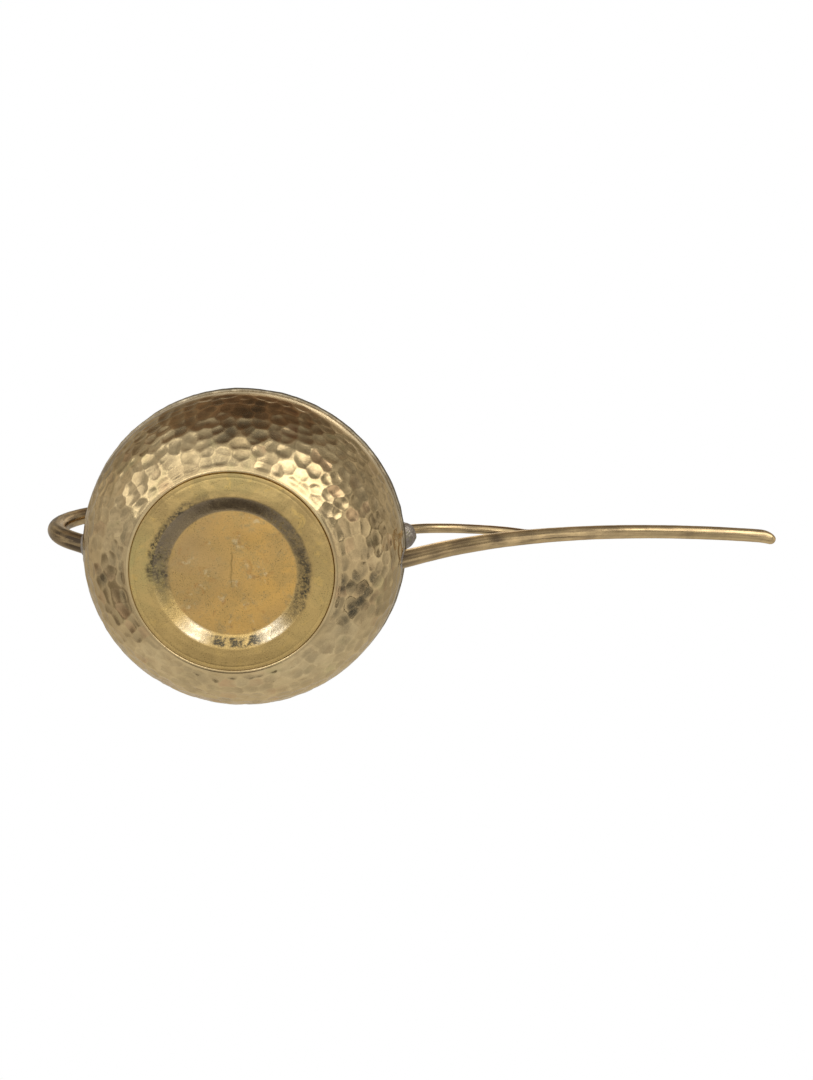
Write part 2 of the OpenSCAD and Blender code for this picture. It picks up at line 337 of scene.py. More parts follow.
# ---------------------------------------------------------------- shader tools
class Shader:
    """Empties the node tree of a material or world and adds nodes to it. Every method but the
    first two and the last gives back an output socket."""

    def __init__(self, owner):
        owner.use_nodes = True
        self.tree = owner.node_tree
        self.tree.nodes.clear()

    def set(self, socket, value):
        if isinstance(value, bpy.types.NodeSocket):
            self.tree.links.new(value, socket)
        elif hasattr(socket.default_value, "__len__") and len(value) == 3 \
                and len(socket.default_value) == 4:
            socket.default_value = (*value, 1.0)
        else:
            socket.default_value = value

    def node(self, kind, output=0, inputs=(), **settings):
        node = self.tree.nodes.new(kind)
        for key, value in settings.items():
            setattr(node, key, value)
        for key, value in dict(inputs).items():
            self.set(node.inputs[key], value)
        return node.outputs[output]

    def math(self, operation, a, b=0.0, clamp=False):
        return self.node("ShaderNodeMath", 0, {0: a, 1: b}, operation=operation,
                         use_clamp=clamp)

    def plus(self, a, b):
        return self.math("ADD", a, b, True)

    def times(self, a, b, clamp=False):
        return self.math("MULTIPLY", a, b, clamp)

    def span(self, value, low, high, out_low=0.0, out_high=1.0):
        return self.node("ShaderNodeMapRange", 0,
                         {0: value, 1: low, 2: high, 3: out_low, 4: out_high},
                         interpolation_type="SMOOTHSTEP", clamp=True)

    def mix(self, amount, a, b):
        return self.node("ShaderNodeMix", 2, {0: amount, 6: a, 7: b}, data_type="RGBA",
                         clamp_factor=True)

    def stain(self, base, pattern, low, high, most, colour):
        """Colour over base where the pattern is above low, and at its most above high."""
        return self.mix(self.span(pattern, low, high, 0.0, most), base, colour)

    def noise(self, vector, scale, detail=3.0, rough=0.55, warp=0.0):
        return self.node("ShaderNodeTexNoise", 0,
                         {"Vector": vector, "Scale": scale, "Detail": detail,
                          "Roughness": rough, "Distortion": warp})

    def field(self, name, output="Fac"):
        return self.node("ShaderNodeAttribute", output, attribute_name=name)

    def stretch(self, vector, scale):
        return self.node("ShaderNodeVectorMath", 0, {0: vector, 1: scale},
                         operation="MULTIPLY")

    def bumps(self, *layers):
        """A normal from layers of height, distance in metres and strength."""
        inputs = {}
        for height, distance, strength in layers:
            inputs.update({"Height": height, "Distance": distance, "Strength": strength})
            inputs["Normal"] = self.node("ShaderNodeBump", 0, inputs)
        return inputs["Normal"]

    def finish(self, kind, surface):
        self.set(self.tree.nodes.new(kind).inputs[0], surface)


def new_material(name):
    material = bpy.data.materials.new(name)
    return material, Shader(material)


def finish_metal(s, colour, rough, normal, metal=1.0, edge_tint=(1.0, 1.0, 1.0)):
    s.finish("ShaderNodeOutputMaterial", s.node(
        "ShaderNodeBsdfPrincipled", 0,
        {"Specular Tint": edge_tint, "Base Color": colour, "Roughness": rough,
         "Metallic": metal, "Normal": normal}))


# ---------------------------------------------------------------- materials
def hammered_brass():
    """Aged brass, polished on the ridges between dents and tarnished within them, with a pale
    band of painted sheen below the seam on one side.
    """
    material, s = new_material("hammered_brass")
    at = s.node("ShaderNodeTexCoord", "Object")
    dent, cell, grime = s.field("dent"), s.field("cell"), s.field("grime")
    patches = s.noise(at, 48, 4, 0.6, 0.4)
    mottle = s.noise(at, 300, 6, 0.66, 0.5)
    fine = s.noise(at, 1500, 5, 0.7)
    specks = s.noise(at, 3800, 3, 0.6)
    base = s.mix(s.span(patches, 0.36, 0.64), (0.74, 0.575, 0.325), (0.63, 0.475, 0.255))
    base = s.stain(base, cell, 0.45, 1.0, 0.45, (0.48, 0.36, 0.20))
    russet = s.times(s.span(cell, 0.30, 0.0), s.span(patches, 0.42, 0.58))
    base = s.mix(s.times(russet, 0.5), base, (0.60, 0.36, 0.20))
    base = s.stain(base, s.noise(at, 120, 3, 0.6), 0.56, 0.74, 0.5, (0.58, 0.50, 0.25))
    base = s.stain(base, mottle, 0.50, 0.76, 0.55, (0.46, 0.33, 0.18))
    within = s.times(s.span(dent, 0.15, 0.85), grime)
    dark = s.times(within, s.span(fine, 0.28, 0.62, 0.55, 1.0))
    dark = s.math("MAXIMUM", dark, s.times(s.span(grime, 0.9, 1.4), 0.9), True)
    base = s.mix(dark, base, (0.105, 0.092, 0.066))
    speck = s.times(s.span(specks, 0.66, 0.76), s.span(patches, 0.35, 0.6, 0.1, 0.8))
    base = s.mix(speck, base, (0.16, 0.115, 0.07))
    # Painted sheen: a pale cream band below the seam, on one side only.
    painted_sheen = s.times(s.field("band"), s.span(fine, 0.35, 0.60, 0.8, 0.4))
    base = s.mix(painted_sheen, base, (0.86, 0.735, 0.50))
    rough = s.plus(s.span(mottle, 0.3, 0.75, 0.075, 0.17), s.times(dark, 0.22))
    rough = s.plus(rough, s.span(fine, 0.35, 0.7, -0.03, 0.05))
    normal = s.bumps((mottle, 0.00012, 0.5), (fine, 0.00003, 0.8), (specks, 0.000012, 0.6))
    finish_metal(s, base, rough, normal, edge_tint=(0.87, 0.79, 0.66))
    return material


def foot_brass():
    """The stamped plate: orange patina on the disc, speckled wall, greener scratched ring.
    Painted shade and painted highlights on the wall, and disc and ring painted lighter on one
    side.
    """
    material, s = new_material("foot_brass")
    at = s.node("ShaderNodeTexCoord", "Object")
    disc, wall = s.field("disc"), s.field("wall")
    grime, green = s.field("grime"), s.field("green")
    patches = s.noise(at, 130, 5, 0.62, 0.6)
    mottle = s.noise(at, 420, 6, 0.68, 0.4)
    fine = s.noise(at, 1700, 5, 0.7)
    specks = s.noise(at, 4200, 3, 0.6)
    scratch = s.noise(s.stretch(at, (260.0, 3600.0, 900.0)), 1.0, 2, 0.5, 0.15)
    ring = s.mix(s.span(patches, 0.38, 0.62), (0.59, 0.42, 0.175), (0.43, 0.305, 0.13))
    ring = s.mix(s.times(green, s.span(patches, 0.3, 0.7, 0.2, 0.9)), ring,
                 (0.54, 0.49, 0.21))
    ring = s.stain(ring, s.noise(at, 230, 4, 0.6, 1.0), 0.56, 0.68, 0.5, (0.72, 0.50, 0.16))
    # Painted light: the ring and the disc lighter and more orange towards one side.
    tone = s.field("tone")
    ring = s.mix(s.times(tone, 0.5), ring, (0.82, 0.57, 0.22))
    warm = s.mix(tone, (0.53, 0.365, 0.17), (0.80, 0.49, 0.15))
    warm = s.stain(warm, patches, 0.42, 0.64, 0.7, (0.60, 0.40, 0.15))
    warm = s.stain(warm, mottle, 0.50, 0.72, 0.7, (0.50, 0.38, 0.19))
    pale = s.span(s.noise(at, 360, 3, 0.5), 0.62, 0.74, 0.0, 0.45)
    warm = s.mix(pale, warm, (0.82, 0.69, 0.42))
    russet = s.span(s.noise(at, 330, 4, 0.6, 0.6), 0.58, 0.70, 0.0, 0.55)
    warm = s.mix(russet, warm, (0.52, 0.28, 0.10))
    base = s.mix(disc, ring, warm)
    base = s.stain(base, mottle, 0.56, 0.78, 0.4, (0.40, 0.28, 0.115))
    # On the foot plate grime holds dirt and painted shade.
    blotch = s.times(grime, s.span(mottle, 0.34, 0.60, 0.25, 1.15), True)
    blotch = s.times(blotch, s.span(fine, 0.40, 0.52, 0.45, 1.1), True)
    base = s.mix(blotch, base, (0.10, 0.085, 0.058))
    rubbed = s.span(s.noise(at, 1150, 4, 0.65), 0.50, 0.60, 0.0, 0.9)
    rubbed = s.times(s.field("worn"), rubbed)
    # Painted shade on the recess wall, broken up by worn speckles.
    shade = s.times(s.field("shade"), s.math("SUBTRACT", 1.0, rubbed), True)
    shade = s.times(shade, s.span(mottle, 0.3, 0.6, 1.0, 0.86), True)
    base = s.mix(shade, base, (0.31, 0.245, 0.17))
    dots = s.times(s.span(specks, 0.57, 0.68), s.span(patches, 0.3, 0.62, 0.35, 1.0))
    base = s.mix(dots, base, (0.17, 0.12, 0.055))
    bright = s.times(s.span(specks, 0.40, 0.30), wall)
    base = s.mix(s.times(bright, 0.3), base, (0.86, 0.68, 0.36))
    # Painted highlights: paler colour on two spots of the recess wall's lower side.
    painted_highlight = s.field("painted_highlight")
    base = s.mix(s.times(painted_highlight, s.span(fine, 0.3, 0.6, 0.65, 0.35)), base, (0.93, 0.87, 0.75))
    base = s.mix(s.field("mark"), base, (0.16, 0.12, 0.05))
    rough = s.plus(s.span(mottle, 0.3, 0.75, 0.30, 0.46), s.times(blotch, 0.16))
    rough = s.math("SUBTRACT", rough, s.times(wall, 0.15), True)
    rough = s.math("SUBTRACT", rough, s.times(painted_highlight, 0.07), True)
    normal = s.bumps((mottle, 0.00010, 0.5), (scratch, 0.000018, 0.7), (fine, 0.00003, 0.8))
    finish_metal(s, base, rough, normal)
    return material


def edge_brass():
    """Worn folded edge and rim wire, bright on top and dirty beside the folds. The folded edge
    also has painted shade over its lower half on one side.
    """
    material, s = new_material("edge_brass")
    at = s.node("ShaderNodeTexCoord", "Object")
    grime = s.field("grime")
    patches = s.noise(at, 160, 4, 0.6, 0.3)
    fine = s.noise(at, 1400, 5, 0.7)
    base = s.mix(s.span(patches, 0.36, 0.66), (0.74, 0.64, 0.46), (0.56, 0.46, 0.31))
    base = s.stain(base, fine, 0.52, 0.70, 0.7, (0.27, 0.20, 0.125))
    base = s.mix(grime, base, (0.075, 0.062, 0.045))
    rough = s.plus(s.span(fine, 0.3, 0.7, 0.24, 0.40), s.times(grime, 0.25))
    normal = s.bumps((patches, 0.0002, 0.4), (fine, 0.00004, 0.8))
    finish_metal(s, base, rough, normal, edge_tint=(0.50, 0.43, 0.34))
    return material


def rod_brass():
    """Drawn rod, handled for years: brown patina with bright streaks along it."""
    material, s = new_material("rod_brass")
    along = s.field("along", "Vector")
    grime = s.field("grime")
    streaks = s.noise(s.stretch(along, (60.0, 900.0, 900.0)), 1.0, 4, 0.6, 0.3)
    lines = s.noise(s.stretch(along, (130.0, 3400.0, 3400.0)), 1.0, 3, 0.6)
    patches = s.noise(along, 95, 5, 0.62, 0.5)
    fine = s.noise(along, 1600, 5, 0.7)
    base = s.mix(s.span(patches, 0.36, 0.66), (0.78, 0.58, 0.315), (0.60, 0.45, 0.25))
    base = s.stain(base, streaks, 0.48, 0.70, 0.6, (0.42, 0.29, 0.165))
    base = s.stain(base, lines, 0.56, 0.74, 0.45, (0.28, 0.205, 0.12))
    base = s.stain(base, s.noise(along, 260, 3, 0.6), 0.60, 0.74, 0.5, (0.70, 0.52, 0.24))
    dull = s.times(grime, s.span(streaks, 0.38, 0.60, 0.45, 1.35))
    base = s.mix(s.times(dull, s.span(fine, 0.3, 0.6, 0.7, 1.0), True), base,
                 (0.12, 0.092, 0.07))
    rough = s.plus(s.span(patches, 0.3, 0.7, 0.13, 0.24), s.span(fine, 0.3, 0.7, -0.03, 0.06))
    normal = s.bumps((lines, 0.00003, 0.6), (fine, 0.00004, 0.3))
    finish_metal(s, base, rough, normal, edge_tint=(0.82, 0.73, 0.60))
    return material


def solder():
    """Dull grey cast solder with file marks, brown stains and verdigris."""
    material, s = new_material("solder")
    at = s.node("ShaderNodeTexCoord", "Object")
    patches = s.noise(at, 300, 4, 0.62, 0.5)
    mottle = s.noise(at, 1100, 5, 0.7)
    fine = s.noise(at, 3600, 4, 0.7)
    base = s.mix(s.span(patches, 0.36, 0.64), (0.42, 0.375, 0.325), (0.28, 0.24, 0.205))
    base = s.stain(base, mottle, 0.55, 0.75, 0.7, (0.17, 0.13, 0.11))
    base = s.stain(base, s.noise(at, 420, 3, 0.6, 0.8), 0.58, 0.70, 0.75, (0.33, 0.33, 0.155))
    base = s.stain(base, s.noise(at, 700, 3, 0.6), 0.66, 0.74, 0.8, (0.72, 0.69, 0.62))
    rough = s.span(mottle, 0.3, 0.7, 0.42, 0.62)
    normal = s.bumps((mottle, 0.00010, 0.8), (fine, 0.00003, 0.8))
    finish_metal(s, base, rough, normal, metal=0.8)
    return material


def old_tin():
    """Tin lining, wiped on by hand: pale grey streaks, worn and stained yellow near the top."""
    material, s = new_material("old_tin")
    at = s.node("ShaderNodeTexCoord", "Object")
    streaks = s.noise(s.stretch(at, (70.0, 70.0, 420.0)), 1.0, 5, 0.62, 0.8)
    patches = s.noise(at, 70, 4, 0.6, 0.4)
    fine = s.noise(at, 1300, 5, 0.7)
    base = s.mix(s.span(streaks, 0.36, 0.66), (0.66, 0.655, 0.63), (0.50, 0.49, 0.465))
    base = s.stain(base, patches, 0.52, 0.72, 0.55, (0.42, 0.375, 0.285))
    base = s.stain(base, fine, 0.60, 0.74, 0.7, (0.24, 0.22, 0.19))
    rough = s.plus(s.span(streaks, 0.3, 0.7, 0.28, 0.44), s.span(fine, 0.3, 0.7, -0.03, 0.06))
    normal = s.bumps((streaks, 0.00008, 0.6), (fine, 0.00003, 0.7))
    finish_metal(s, base, rough, normal)
    return material


# The materials of a piece in each of the record's slots. The tin lines two of the pieces.
hammered, foot, edge, rod, grey = (
    hammered_brass(), foot_brass(), edge_brass(), rod_brass(), solder())
MATERIALS = {"hammered_brass": [hammered, old_tin()], "foot_brass": [foot],
             "edge_brass": [edge], "rod_brass": [rod], "solder": [grey]}


# ---------------------------------------------------------------- foot plate
EDGE_BEND = 0.42  # radius of the plate's rounded edge
ROUND_SIDES = 420  # points once round the plate, the seam and the rim


def build_foot_plate():
    rng = np.random.default_rng(3)
    flat_end = STAND_R + STAND_W
    radii = np.concatenate([np.linspace(0.6, DISC_R - 1.0, 34),
                            np.linspace(DISC_R - 0.8, flat_end + 1.2, 46),
                            np.linspace(flat_end + 1.5, FOOT_R - 1.3, 10),
                            np.linspace(FOOT_R - 1.2, FOOT_R - EDGE_BEND, 7)])
    slope = np.clip((radii - DISC_R) / (STAND_R - DISC_R), 0, 1)
    slope = 0.55 * slope + 0.45 * smooth(radii, DISC_R, STAND_R)
    rise = EDGE_RISE * np.maximum(radii - flat_end, 0) / (FOOT_R - flat_end)
    soft = 0.06 * np.exp(-((radii - flat_end) / 0.7) ** 2) * (radii > STAND_R)
    line = 0.05 * np.exp(-((radii - (FOOT_R - 1.15)) / 0.22) ** 2)
    heights = RECESS_H * (1 - slope) + rise + soft + line
    turn = np.radians(np.linspace(-80, 0, 7))
    edge_z = heights[-1] + EDGE_BEND
    edge = np.stack([FOOT_R - EDGE_BEND + EDGE_BEND * np.cos(turn),
                     edge_z + EDGE_BEND * np.sin(turn)], 1)
    top = np.array([[FOOT_R, edge_z + 0.4], [FOOT_R, PLATE_TOP - 0.05],
                    [FOOT_R - 0.05, PLATE_TOP], [FOOT_R * 0.6, PLATE_TOP], [0.6, PLATE_TOP]])
    profile = np.vstack([np.stack([radii, heights], 1), edge, top])
    grid = turned(profile, round_angles(ROUND_SIDES))
    r, angle = polar(grid)
    underside = grid[..., 2] < RECESS_H + 0.3

    # Waviness of the disc, the ring and the wall between them.
    sag = 0.07 * waves(rng, grid, 17) + 0.03 * waves(rng, grid, 6)
    grid[..., 2] += underside * fade(r, DISC_R - 2.5, DISC_R) * sag
    on_ring = between(r, flat_end, FOOT_R - 1.5, FOOT_R - 0.5, FOOT_R)
    grid[..., 2] += underside * on_ring * np.abs(0.05 * waves(rng, grid, 11))
    on_wall = between(r, DISC_R - 0.6, DISC_R + 0.4, STAND_R - 0.4, STAND_R + 0.8)
    grid[..., 2] += underside * on_wall * 0.05 * waves(rng, grid, 13)
    grid[..., 2] = np.maximum(grid[..., 2], 0)

    ragged = 0.5 * waves(rng, grid, 5) + 0.35 * waves(rng, grid, 2.2)
    on_slope = between(r, DISC_R - 0.15, DISC_R + 0.25, STAND_R - 0.5, STAND_R)
    outward = (r - DISC_R) / (STAND_R - DISC_R)
    # Painted shade: the recess wall darker over one side, most at its outer edge.
    shade = on_slope * sides(angle, (-105, 115, 1.7)) * (0.78 + 0.22 * outward)
    worn = sides(angle, (-16, 76, 1.5), (178, 40, 1.3))
    # Painted highlights on two spots of the recess wall.
    painted_highlight = on_slope * sides(angle, (54, 21, 1.2), (121, 20, 1.0))
    # Bands of dirt along the wall: how dark, on which side, the radius of the middle, how
    # ragged, and where each side of the band starts and ends to fade.
    dirt_and_shade = 0
    for dark, side, middle, rough, near, far in (
            (0.85, (-152, 62, 1.4), STAND_R + 0.2, 0.6, 0.5, 1.9),
            (0.80, (-10, 78, 1.4), DISC_R + 2.2, 0.4, 1.2, 2.4),
            (0.70, (178, 34, 1.0), DISC_R + 1.6, 0.4, 0.8, 2.2)):
        band = fade(np.abs(r + rough * ragged - middle), near, far)
        dirt_and_shade = dirt_and_shade + dark * sides(angle, side) * band
    # Painted shade: the wall darker still on one side.
    dirt_and_shade += 0.5 * on_slope * sides(angle, (-150, 50, 1.0))
    lower_wall = between(r, DISC_R + 0.3, DISC_R + 1.2, STAND_R - 1.2, STAND_R)
    dirt_and_shade += sides(angle, (86, 34, 1.7)) * lower_wall
    # Painted shade along the plate's outer edge, on its lower side.
    dirt_and_shade += 0.4 * sides(angle, (90, 130, 1.6)) * smooth(r, FOOT_R - 0.25, FOOT_R - 0.02)
    x, y = grid[..., 0], grid[..., 1]
    # Painted light: the disc and the ring lighter and more orange towards one side, with random
    # tone on top.
    sunny = np.where(r < DISC_R, 1.1 * x + 0.2 * y, 1.3 * y + 0.2 * x)
    tone = smooth(0.05 * sunny + 0.35 * waves(rng, grid, 14), -1.4, 1.1)
    green = 0.9 * sides(angle, (178, 45, 1.0)) * smooth(r, DISC_R, DISC_R + 2)
    on_stand = smooth(r, STAND_R, STAND_R + 1.5)
    green += 0.35 * sides(angle, (20, 60, 1.0), (-90, 50, 1.0)) * on_stand
    scratch = np.exp(-((x + 0.4 + 0.12 * np.sin(y * 1.7)) / 0.24) ** 2)
    mark = 0.5 * scratch * between(y, -7.2, -5, 2.5, 4.6) * (r < DISC_R)
    fields = {"disc": fade(r, DISC_R - 0.5, DISC_R + 0.5),
              "wall": between(r, DISC_R - 0.2, DISC_R + 0.8, STAND_R - 0.9, STAND_R + 0.2),
              "grime": np.clip(dirt_and_shade, 0, 1), "shade": shade, "worn": worn, "painted_highlight": painted_highlight,
              "tone": tone, "green": np.clip(green, 0, 1), "mark": mark}
    poles = np.array([[0, 0, grid[0, :, 2].mean()], [0, 0, PLATE_TOP]])
    make_piece("foot_plate_stamped", "foot_plate", "foot_brass", grid, poles, fields)


# ---------------------------------------------------------------- bowl
ARC_STEP = 0.44  # between the rows of the bowl's hammered face
DENTS_TOP = 26.5  # height where the bowl's dents stop


def bowl_arc(radius, low, high, count):
    ends = [math.asin((z - ARC_Z) / radius) for z in (low, high)]
    turn = np.linspace(*ends, count)
    return np.stack([ARC_X + radius * np.cos(turn), ARC_Z + radius * np.sin(turn)], 1)


def build_bowl():
    rng = np.random.default_rng(11)
    angles = round_angles(640)
    floor_z = PLATE_TOP + SHEET
    ends = 0.9, SEAM_LOW - 0.45
    span = math.asin((ends[1] - ARC_Z) / ARC_R) - math.asin((ends[0] - ARC_Z) / ARC_R)
    arc = bowl_arc(ARC_R, *ends, int(span * ARC_R / ARC_STEP))
    inside = bowl_arc(ARC_R - SHEET, SEAM_LOW - 0.05, floor_z + 0.9, 44)
    first, last, corner = arc[0], arc[-1], inside[-1]
    bottom = np.array([[1, PLATE_TOP + 0.02], [FOOT_R - 0.3, PLATE_TOP + 0.02]])
    foot = np.array([[FOOT_R - 0.02, PLATE_TOP - 0.1], [FOOT_R + 0.02, first[1] + 0.42],
                     [FOOT_R + 0.10, first[1] + 0.20], [FOOT_R + 0.28, first[1] + 0.05]])
    lip = np.array([[last[0] - 0.02, SEAM_LOW - 0.22], [last[0] - 0.14, SEAM_LOW - 0.07],
                    [last[0] - 0.36, SEAM_LOW]])
    floor = np.array([[corner[0] - 1.1, corner[1] - 0.5], [corner[0] - 2.3, floor_z + 0.12],
                      [corner[0] - 4, floor_z], [16, floor_z], [8, floor_z], [1, floor_z]])
    profile = np.vstack([bottom, foot, arc, lip, inside, floor])
    start = len(bottom) + len(foot)
    rows = slice(start, start + len(arc))
    lip_end = rows.stop + len(lip)
    inner_rows = slice(lip_end, lip_end + len(inside))
    grid = turned(profile, angles)

    normal, along = profile_normals(arc), path_length(arc)
    stop = np.interp(DENTS_TOP, arc[:, 1], along)
    depth, middle, cell = hammer(rng, arc[:, 0], along, angles, start=2.2, stop=stop, gap=4.2,
                                 depth=0.36, curve=8.8)
    near_foot = smooth(along, 0.5, 2.6)[:, None]
    flat = grid[rows]
    ragged = 1.4 * waves(rng, flat, 12)
    near_top = fade(flat[..., 2] + ragged, DENTS_TOP - 3.5, DENTS_TOP + 2.5)
    depth = depth * near_foot * near_top
    low_wave = 0.05 * (1 + waves(rng, flat, 30)) * near_foot * fade(flat[..., 2], 22, 33)
    sink = np.maximum(depth, 0) + np.maximum(low_wave, 0)
    grid[rows] -= sink[..., None] * turned(normal, angles)

    # The dents show inside, shallower.
    share = np.interp(inside[::-1, 1], arc[:, 1], np.arange(len(arc)))[::-1]
    pushed = 0.35 * depth[np.clip(share.astype(int), 0, len(arc) - 1)]
    inner_flat = grid[inner_rows]
    radial = unit(inner_flat - np.array([0, 0, ARC_Z]))
    off_floor = smooth(inner_flat[..., 2], floor_z + 1, floor_z + 4)[..., None]
    grid[inner_rows] -= pushed[..., None] * off_floor * radial * np.array([1, 1, 0])

    z = grid[..., 2]
    r, angle = polar(grid)
    dent, value, spot = np.zeros(z.shape), np.full(z.shape, 0.5), np.zeros(z.shape)
    dent[rows] = middle * near_foot * near_top
    value[rows] = 0.5 + (cell - 0.5) * near_top
    # Dark patches: place seen from below, width and darkness.
    for x, y, wide, dark in ((33.5, 3, 7.5, 1.0), (32, 9, 5, 0.8), (-33, 4.5, 5, 0.8),
                             (-1, -44, 12, 0.55), (-20, -40, 9, 0.35)):
        away = np.hypot(grid[..., 0] - x, grid[..., 1] - y)
        spot = np.maximum(spot, dark * np.exp(-((away / wide) ** 2)) * (z < 30))
    wander = np.clip(0.5 + 0.5 * waves(rng, grid, 9), 0, 1)
    grime = np.clip(spot * (0.5 + 0.8 * wander) + 0.28 * wander, 0, 1)
    # The groove beside the foot plate is dark all round, with painted shade added on one side.
    side_shade = 0.12 + 0.5 * sides(angle, (90, 130, 1.6))
    groove_and_shade = side_shade * fade(r, FOOT_R + 0.12, FOOT_R + 0.4)
    seam = 0.75 * smooth(z, SEAM_LOW - 0.40, SEAM_LOW - 0.15)
    plain = smooth(z + 0.25 * waves(rng, grid, 6), 27.6, 28.4)
    plain = plain * fade(z, SEAM_LOW - 0.5, SEAM_LOW - 0.2)
    outside = np.zeros((len(profile), 1))
    outside[len(bottom):lip_end] = 1
    # grime holds the dark patches, the dark seam joint and the groove's painted shade.
    fields = {"dent": dent, "cell": value,
              "grime": np.maximum(np.maximum(grime, groove_and_shade), seam) * outside,
              # band: where the painted sheen goes, on one side below the seam.
              "band": sides(angle, (-60, 150, 1.5)) * plain * outside}
    face_slots = np.zeros(len(profile) - 1, int)
    face_slots[lip_end - 1:] = 1
    poles = np.array([[0, 0, PLATE_TOP + 0.02], [0, 0, floor_z]])
    make_piece("bowl_hammered", "bowl", "hammered_brass", grid, poles, fields, face_slots)


# ---------------------------------------------------------------- seam and rim
def build_seam_ring():
    rng = np.random.default_rng(5)
    half = SEAM_H / 2
    turn = np.radians(np.linspace(-90, 90, 15))
    bulge = np.stack([RING_R - half + half * np.cos(turn), RING_Z + half * np.sin(turn)], 1)
    inner_r = SHOULDER_FOOT_R - SHEET
    inside = np.array([[inner_r + 0.3, SEAM_TOP], [inner_r, SEAM_TOP - 0.1],
                       [inner_r, SEAM_LOW + 0.1], [inner_r + 0.3, SEAM_LOW]])
    grid = turned(np.vstack([bulge, inside]), round_angles(ROUND_SIDES))
    uneven = np.abs(0.10 * waves(rng, grid, 9)) + np.abs(0.04 * waves(rng, grid, 2.5))
    weight = np.zeros((len(grid), 1))
    weight[1:14, 0] = np.cos(turn[1:14])
    grid[..., :2] *= (1 - uneven * weight / RING_R)[..., None]
    angle = polar(grid)[1]
    up = (grid[..., 2] - RING_Z) / half
    folds = 0.5 * smooth(np.abs(up) + 0.05 * waves(rng, grid, 4), 0.90, 1.0)
    # Painted shade: a dark line over the lower half of the folded edge, strongest on one side.
    shade_line = 0.15 + 0.65 * sides(angle, (-50, 120, 1.5))
    grime = np.maximum(folds, shade_line * between(up, -0.99, -0.90, 0.0, 0.6))
    make_piece("seam_edge", "seam_ring", "edge_brass", grid, fields={"grime": grime})


def build_rim_wire():
    rng = np.random.default_rng(6)
    angles = round_angles(ROUND_SIDES)
    # The CAD wire has eight sides, one of them flat on the mouth.
    centre = np.array([[MOUTH_R - SHEET / 2, MOUTH_Z + RIM_D / 2 * math.cos(math.pi / 8)]])
    turn = -TURN * np.arange(20) / 20
    section = centre + np.stack([(RIM_D / 2 - 0.05) * np.cos(turn),
                                 (RIM_D / 2 - 0.08) * np.sin(turn)], 1)
    grid = turned(section, angles, lip_push)
    middle = turned(centre, angles, lip_push)
    dull = 1 - 0.03 * np.abs(waves(rng, grid, 7)) - 0.015 * np.abs(waves(rng, grid, 2.5))
    grid = middle + (grid - middle) * dull[..., None]
    grime = 0.6 * fade(grid[..., 2], MOUTH_Z + 0.05, MOUTH_Z + 0.6)
    make_piece("rim_bead", "rim_wire", "edge_brass", grid, fields={"grime": grime})


# ---------------------------------------------------------------- upper body
NECK_DENTS = 41.0, 85.0  # heights between which the upper body is hammered
LUMP_STAIN, EAR_STAIN = (42.5, 0, 78.4), (-42.5, 0, 81.5)


def build_upper_body():
    rng = np.random.default_rng(21)
    angles = round_angles(600)
    heights = np.linspace(SEAM_TOP, MOUTH_Z, 400)
    outer, along = resample(np.stack([outer_r(heights + 1e-6), heights], 1), 0.56)
    outer[:, 0] = outer_r(outer[:, 1] + 1e-6)
    count = len(outer)
    normal = profile_normals(outer)
    inner = (outer - SHEET * normal)[::-1][::2]
    inner[:, 1] = np.clip(inner[:, 1], SEAM_TOP, MOUTH_Z)
    inner[0, 1], inner[-1, 1] = MOUTH_Z, SEAM_TOP
    grid = turned(np.vstack([outer, inner]), angles, lip_push)

    start, stop = np.interp(NECK_DENTS, outer[:, 1], along)
    depth, middle, cell = hammer(rng, outer[:, 0], along, angles, start, stop, gap=4.4,
                                 depth=0.35, curve=9.2)
    flat = grid[:count]
    at = flat[..., 2] + 1.2 * waves(rng, flat, 12)
    low_z, top_z = NECK_DENTS
    within = between(at, low_z - 4.5, low_z - 1.5, top_z + 0.5, top_z + 3.2)
    depth = depth * within
    low_wave = np.maximum(0.10 * (1 + waves(rng, flat, 30)), 0) * within
    out = turned(normal, angles)
    grid[:count] -= (depth + low_wave)[..., None] * out
    grid[count:] -= (0.35 * depth[::-1][::2])[..., None] * out[::-1][::2]

    z = grid[..., 2]
    dent, value = np.zeros(z.shape), np.full(z.shape, 0.5)
    dent[:count], value[:count] = middle * within, 0.5 + (cell - 0.5) * within
    grime = 0.45 * np.clip(0.5 + 0.5 * waves(rng, grid, 11), 0, 1)
    grime = np.maximum(grime, 0.9 * fade(z, SEAM_TOP + 0.1, SEAM_TOP + 0.6))
    grime = np.maximum(grime, 0.85 * smooth(z, MOUTH_Z - 0.6, MOUTH_Z - 0.1))
    for place, dark, near, far in ((LUMP_STAIN, 1.2, 4.5, 8.5), (EAR_STAIN, 1.1, 4.0, 7.5)):
        away = np.linalg.norm(grid - np.array(place), axis=-1) + waves(rng, grid, 5)
        grime = np.maximum(grime, dark * fade(away, near, far))
    face_slots = np.zeros(len(grid), int)
    face_slots[count:] = 1
    fields = {"dent": dent, "cell": value, "grime": grime}
    make_piece("upper_body_hammered", "upper_body", "hammered_brass", grid, fields=fields,
               face_slots=face_slots)


# ---------------------------------------------------------------- rods
def heading_vector(a):
    """The direction a degrees up from +X, in the XZ plane."""
    a = math.radians(a)
    return np.array([math.cos(a), math.sin(a)])


def in_space(p):
    """Points or directions of the XZ plane with their Y, 0."""
    return np.stack([p[..., 0], 0 * p[..., 0], p[..., 1]], -1)


def along_heading(p, a, length):
    return np.array(p) + length * heading_vector(a)


def bend_end(p, r, a0, a1):
    """Where a bend of radius r ends that starts at p and turns from a0 to a1 degrees."""
    a0, a1 = math.radians(a0), math.radians(a1)
    return np.array(p) + r * np.array([math.sin(a0) - math.sin(a1), math.cos(a1) - math.cos(a0)])


